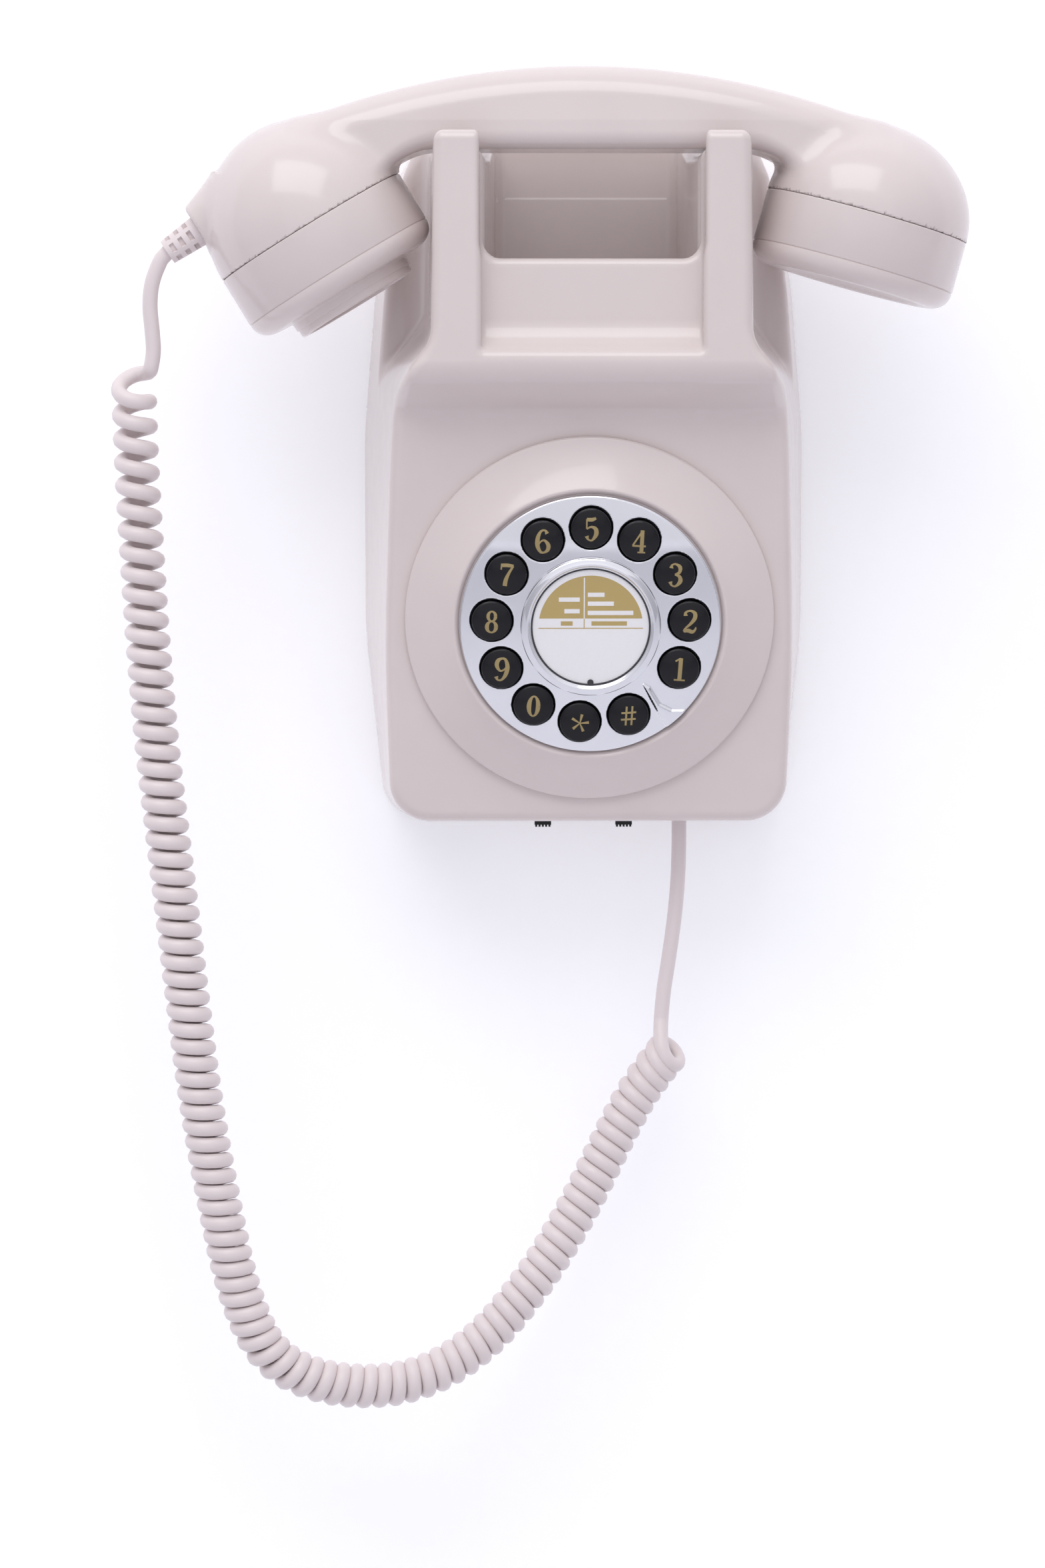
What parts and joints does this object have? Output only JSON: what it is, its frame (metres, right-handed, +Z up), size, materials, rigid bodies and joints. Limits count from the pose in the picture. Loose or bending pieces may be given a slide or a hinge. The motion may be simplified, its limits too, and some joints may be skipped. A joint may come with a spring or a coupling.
{
  "type": "wall telephone",
  "caption": "Slimline wall telephone with a push-button ring dial, a handset lying across a two-prong cradle, a hook mechanism and a curly handset cord.",
  "frame": {"origin": "middle of the two wall-screw holes, on the back face of the base", "axes": "+X to the right seen from the front, -Y out of the wall towards the user, +Z up"},
  "size_m": [0.2475, 0.0897, 0.3928],
  "materials": {
    "body_plastic": "glossy moulded, warm pale grey",
    "base_plastic": "fine matt moulded",
    "black_plastic": "glossy black",
    "chrome": "mirror polished plating",
    "label": "printed white card",
    "clear_plastic": "clear polished",
    "grey_rubber": "matt silicone",
    "board": "green solder mask",
    "steel": "zinc plated",
    "brass": "lightly tarnished",
    "cord_plastic": "soft satin vinyl"
  },
  "bodies": {
    "base": {"front_case": "body_plastic", "back_plate": "base_plastic", "case_screws": "steel", "dial_ring": "body_plastic", "finger_plate": "chrome", "centre_bezel": "chrome", "label_card": "label", "label_lens": "clear_plastic", "keypad_mat": "grey_rubber", "keypad_board": "board", "main_board": "board", "board_pillars": "base_plastic", "board_screws": "steel", "ringer_switch": "base_plastic", "mode_switch": "base_plastic", "line_jack": "black_plastic", "cord_gland": "cord_plastic", "hook_spring": "steel", "hook_bracket": "steel", "hook_switch": "black_plastic", "gong_large": "brass", "gong_small": "brass", "ringer_bracket": "steel", "ringer_coil": "black_plastic", "cord_tail": "cord_plastic", "cord_coil": "cord_plastic", "cord_lead": "cord_plastic"},
    "handset": {"handset_body": "body_plastic", "mouth_cap": "body_plastic", "ear_cap": "body_plastic", "microphone_capsule": "steel", "receiver_capsule": "steel", "handset_weight": "steel", "strain_relief": "cord_plastic"},
    "hook": {"hook_yoke": "base_plastic"},
    "ringer_slider": {"ringer_knob": "black_plastic"},
    "mode_slider": {"mode_knob": "black_plastic"},
    "clapper": {"clapper": "brass"},
    "key_1": {"key_1": "black_plastic"},
    "key_2": {"key_2": "black_plastic"},
    "key_3": {"key_3": "black_plastic"},
    "key_4": {"key_4": "black_plastic"},
    "key_5": {"key_5": "black_plastic"},
    "key_6": {"key_6": "black_plastic"},
    "key_7": {"key_7": "black_plastic"},
    "key_8": {"key_8": "black_plastic"},
    "key_9": {"key_9": "black_plastic"},
    "key_0": {"key_0": "black_plastic"},
    "key_star": {"key_star": "black_plastic"},
    "key_hash": {"key_hash": "black_plastic"}
  },
  "joints": [
    {"name": "handset_lift", "type": "slide", "parent": "base", "child": "handset", "axis": [0, 0, 1], "range_m": [0, 0.06]},
    {"name": "hook_rise", "type": "slide", "parent": "base", "child": "hook", "axis": [0, 0, 1], "range_m": [0, 0.0042], "deforming": ["hook_spring"]},
    {"name": "ringer_slide", "type": "slide", "parent": "base", "child": "ringer_slider", "axis": [1, 0, 0], "range_m": [-0.0025, 0.0025]},
    {"name": "mode_slide", "type": "slide", "parent": "base", "child": "mode_slider", "axis": [1, 0, 0], "range_m": [-0.0025, 0.0025]},
    {"name": "clapper_swing", "type": "hinge", "parent": "base", "child": "clapper", "pos_m": [0, -0.0134, -0.0632], "axis": [0, 1, 0], "range_deg": [-4, 4], "stiffness_Nm_per_rad": 0.01},
    {"name": "key_1_press", "type": "slide", "parent": "base", "child": "key_1", "axis": [0, 0.9868, 0.1618], "range_m": [0, 0.0016], "stiffness_N_per_m": 400},
    {"name": "key_2_press", "type": "slide", "parent": "base", "child": "key_2", "axis": [0, 0.9868, 0.1618], "range_m": [0, 0.0016], "stiffness_N_per_m": 400},
    {"name": "key_3_press", "type": "slide", "parent": "base", "child": "key_3", "axis": [0, 0.9868, 0.1618], "range_m": [0, 0.0016], "stiffness_N_per_m": 400},
    {"name": "key_4_press", "type": "slide", "parent": "base", "child": "key_4", "axis": [0, 0.9868, 0.1618], "range_m": [0, 0.0016], "stiffness_N_per_m": 400},
    {"name": "key_5_press", "type": "slide", "parent": "base", "child": "key_5", "axis": [0, 0.9868, 0.1618], "range_m": [0, 0.0016], "stiffness_N_per_m": 400},
    {"name": "key_6_press", "type": "slide", "parent": "base", "child": "key_6", "axis": [0, 0.9868, 0.1618], "range_m": [0, 0.0016], "stiffness_N_per_m": 400},
    {"name": "key_7_press", "type": "slide", "parent": "base", "child": "key_7", "axis": [0, 0.9868, 0.1618], "range_m": [0, 0.0016], "stiffness_N_per_m": 400},
    {"name": "key_8_press", "type": "slide", "parent": "base", "child": "key_8", "axis": [0, 0.9868, 0.1618], "range_m": [0, 0.0016], "stiffness_N_per_m": 400},
    {"name": "key_9_press", "type": "slide", "parent": "base", "child": "key_9", "axis": [0, 0.9868, 0.1618], "range_m": [0, 0.0016], "stiffness_N_per_m": 400},
    {"name": "key_0_press", "type": "slide", "parent": "base", "child": "key_0", "axis": [0, 0.9868, 0.1618], "range_m": [0, 0.0016], "stiffness_N_per_m": 400},
    {"name": "key_star_press", "type": "slide", "parent": "base", "child": "key_star", "axis": [0, 0.9868, 0.1618], "range_m": [0, 0.0016], "stiffness_N_per_m": 400},
    {"name": "key_hash_press", "type": "slide", "parent": "base", "child": "key_hash", "axis": [0, 0.9868, 0.1618], "range_m": [0, 0.0016], "stiffness_N_per_m": 400}
  ],
  "couplings": [
    {"joint": "hook_rise", "follows": "handset_lift", "ratio": 0.07}
  ]
}
